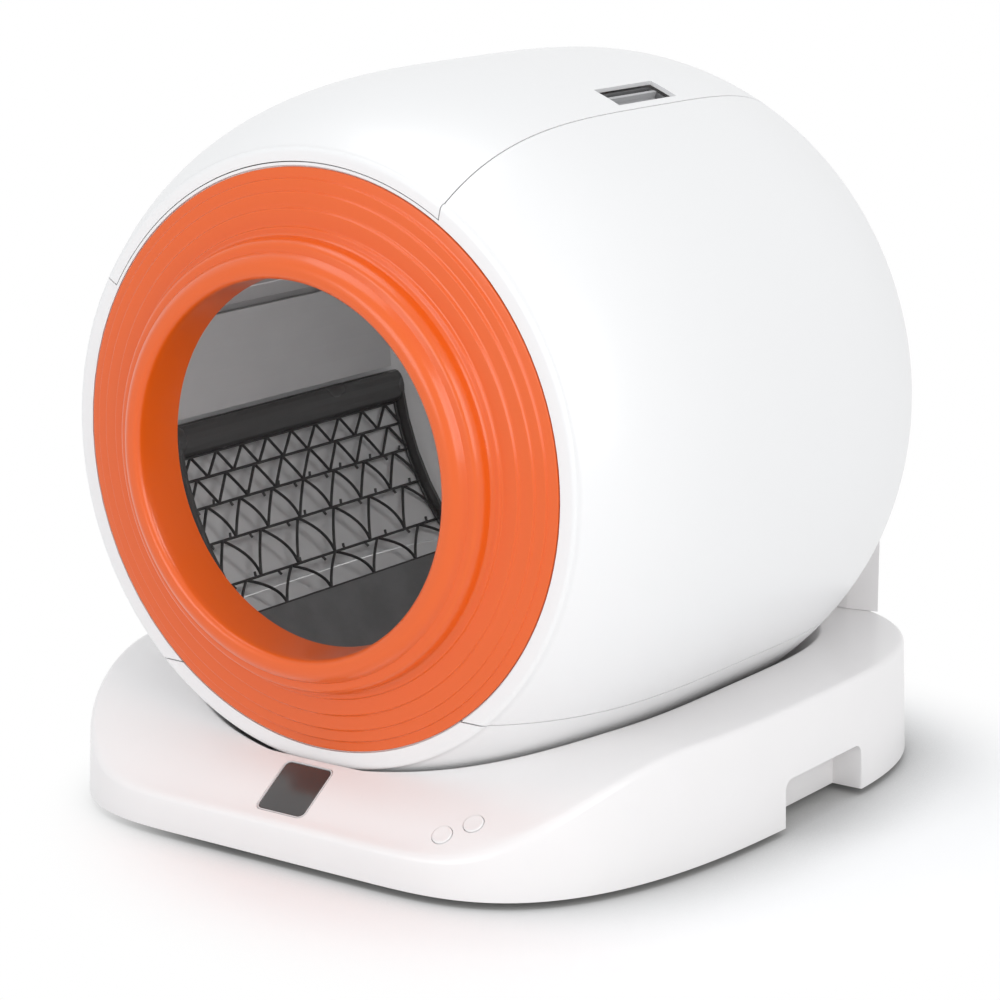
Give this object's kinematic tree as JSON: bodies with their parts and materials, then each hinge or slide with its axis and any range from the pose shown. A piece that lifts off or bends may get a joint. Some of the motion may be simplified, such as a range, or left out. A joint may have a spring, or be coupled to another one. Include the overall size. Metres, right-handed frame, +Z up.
{
  "type": "self cleaning litter box",
  "caption": "Covered cat litter drum with a round orange-ringed entry, turning in a low sloping base with display and buttons.",
  "frame": {"origin": "middle of the base's footprint, on the floor plane under the rubber feet", "axes": "+Z up, -Y towards the entry opening, +X towards the side of the push buttons; the drum turns about a line along Y"},
  "size_m": [0.4988, 0.5274, 0.5137],
  "materials": {
    "white_plastic": "smooth semi-gloss",
    "base_white_plastic": "smooth semi-gloss",
    "orange_plastic": "smooth semi-gloss",
    "dark_grey_plastic": "fine matte",
    "mid_grey_plastic": "satin",
    "light_grey_plastic": "satin",
    "black_gloss": "polished",
    "black_rubber": "matte",
    "bright_steel": "turned",
    "zinc_steel": "zinc plated",
    "natural_acetal": "satin",
    "circuit_green": "satin"
  },
  "bodies": {
    "base": {"display_bezel": "white_plastic", "base_housing": "base_white_plastic", "base_bottom_plate": "base_white_plastic", "rear_tower": "base_white_plastic", "tower_back_cover": "base_white_plastic", "drive_gearbox": "dark_grey_plastic", "roller_cradle_left": "dark_grey_plastic", "roller_cradle_right": "dark_grey_plastic", "power_inlet": "dark_grey_plastic", "display_window": "black_gloss", "rubber_foot_front_left": "black_rubber", "rubber_foot_front_right": "black_rubber", "rubber_foot_back_left": "black_rubber", "rubber_foot_back_right": "black_rubber", "hub_pin": "bright_steel", "roller_axle_front_left": "bright_steel", "roller_axle_front_right": "bright_steel", "roller_axle_back_left": "bright_steel", "roller_axle_back_right": "bright_steel", "drive_motor": "zinc_steel", "cover_screw_left": "zinc_steel", "cover_screw_right": "zinc_steel", "bottom_screw_1": "zinc_steel", "bottom_screw_2": "zinc_steel", "bottom_screw_3": "zinc_steel", "bottom_screw_4": "zinc_steel", "control_board": "circuit_green", "button_board": "circuit_green", "position_sensor": "circuit_green"},
    "drum": {"drum_upper_shell": "white_plastic", "drum_lower_shell": "white_plastic", "front_ring": "orange_plastic", "litter_liner": "dark_grey_plastic", "liner_ramp": "dark_grey_plastic", "sieve_screen": "dark_grey_plastic", "sieve_frame": "dark_grey_plastic", "chute_wall": "light_grey_plastic", "waste_tub": "mid_grey_plastic", "drum_gear": "natural_acetal", "drum_hub": "natural_acetal", "home_magnet": "zinc_steel"},
    "hatch": {"hatch_cover": "white_plastic", "latch_recess_cup": "mid_grey_plastic"},
    "latch": {"latch_slider": "light_grey_plastic"},
    "flap": {"tub_flap": "light_grey_plastic"},
    "pinion": {"drive_pinion": "natural_acetal", "drive_shaft": "bright_steel"},
    "clean_key": {"clean_button": "white_plastic"},
    "power_key": {"power_button": "white_plastic"},
    "roller_front_left": {"roller_hub_front_left": "natural_acetal", "roller_tyre_front_left": "black_rubber"},
    "roller_front_right": {"roller_hub_front_right": "natural_acetal", "roller_tyre_front_right": "black_rubber"},
    "roller_back_left": {"roller_hub_back_left": "natural_acetal", "roller_tyre_back_left": "black_rubber"},
    "roller_back_right": {"roller_hub_back_right": "natural_acetal", "roller_tyre_back_right": "black_rubber"}
  },
  "joints": [
    {"name": "drum_turn", "type": "hinge", "parent": "base", "child": "drum", "pos_m": [0, 0, 0.2643], "axis": [0, 1, 0], "continuous": true},
    {"name": "pinion_spin", "type": "hinge", "parent": "base", "child": "pinion", "pos_m": [0, 0.2273, 0.0963], "axis": [0, 1, 0], "continuous": true},
    {"name": "hatch_hinge", "type": "hinge", "parent": "drum", "child": "hatch", "pos_m": [-0.21453, 0, 0.39168], "axis": [0, -1, 0], "range_deg": [0, 95]},
    {"name": "latch_slide", "type": "slide", "parent": "hatch", "child": "latch", "axis": [-0.9205, 0, 0.3908], "range_m": [0, 0.005], "stiffness_N_per_m": 150, "springref_m": -0.004},
    {"name": "flap_swing", "type": "hinge", "parent": "drum", "child": "flap", "pos_m": [-0.14808, 0, 0.35333], "axis": [0, 1, 0], "range_deg": [0, 50]},
    {"name": "clean_press", "type": "slide", "parent": "base", "child": "clean_key", "axis": [0, 0.5731, -0.8195], "range_m": [0, 0.0012], "stiffness_N_per_m": 400, "springref_m": -0.002},
    {"name": "power_press", "type": "slide", "parent": "base", "child": "power_key", "axis": [0, 0.5571, -0.8304], "range_m": [0, 0.0012], "stiffness_N_per_m": 400, "springref_m": -0.002},
    {"name": "roller_spin_front_left", "type": "hinge", "parent": "base", "child": "roller_front_left", "pos_m": [-0.16364, -0.045, 0.05485], "axis": [0, 1, 0], "continuous": true},
    {"name": "roller_spin_front_right", "type": "hinge", "parent": "base", "child": "roller_front_right", "pos_m": [0.16364, -0.045, 0.05485], "axis": [0, 1, 0], "continuous": true},
    {"name": "roller_spin_back_left", "type": "hinge", "parent": "base", "child": "roller_back_left", "pos_m": [-0.16364, 0.075, 0.05485], "axis": [0, 1, 0], "continuous": true},
    {"name": "roller_spin_back_right", "type": "hinge", "parent": "base", "child": "roller_back_right", "pos_m": [0.16364, 0.075, 0.05485], "axis": [0, 1, 0], "continuous": true}
  ],
  "couplings": [
    {"joint": "pinion_spin", "follows": "drum_turn", "ratio": -6},
    {"joint": "roller_spin_front_left", "follows": "drum_turn", "ratio": -15.594},
    {"joint": "roller_spin_front_right", "follows": "drum_turn", "ratio": -15.594},
    {"joint": "roller_spin_back_left", "follows": "drum_turn", "ratio": -15.594},
    {"joint": "roller_spin_back_right", "follows": "drum_turn", "ratio": -15.594}
  ]
}
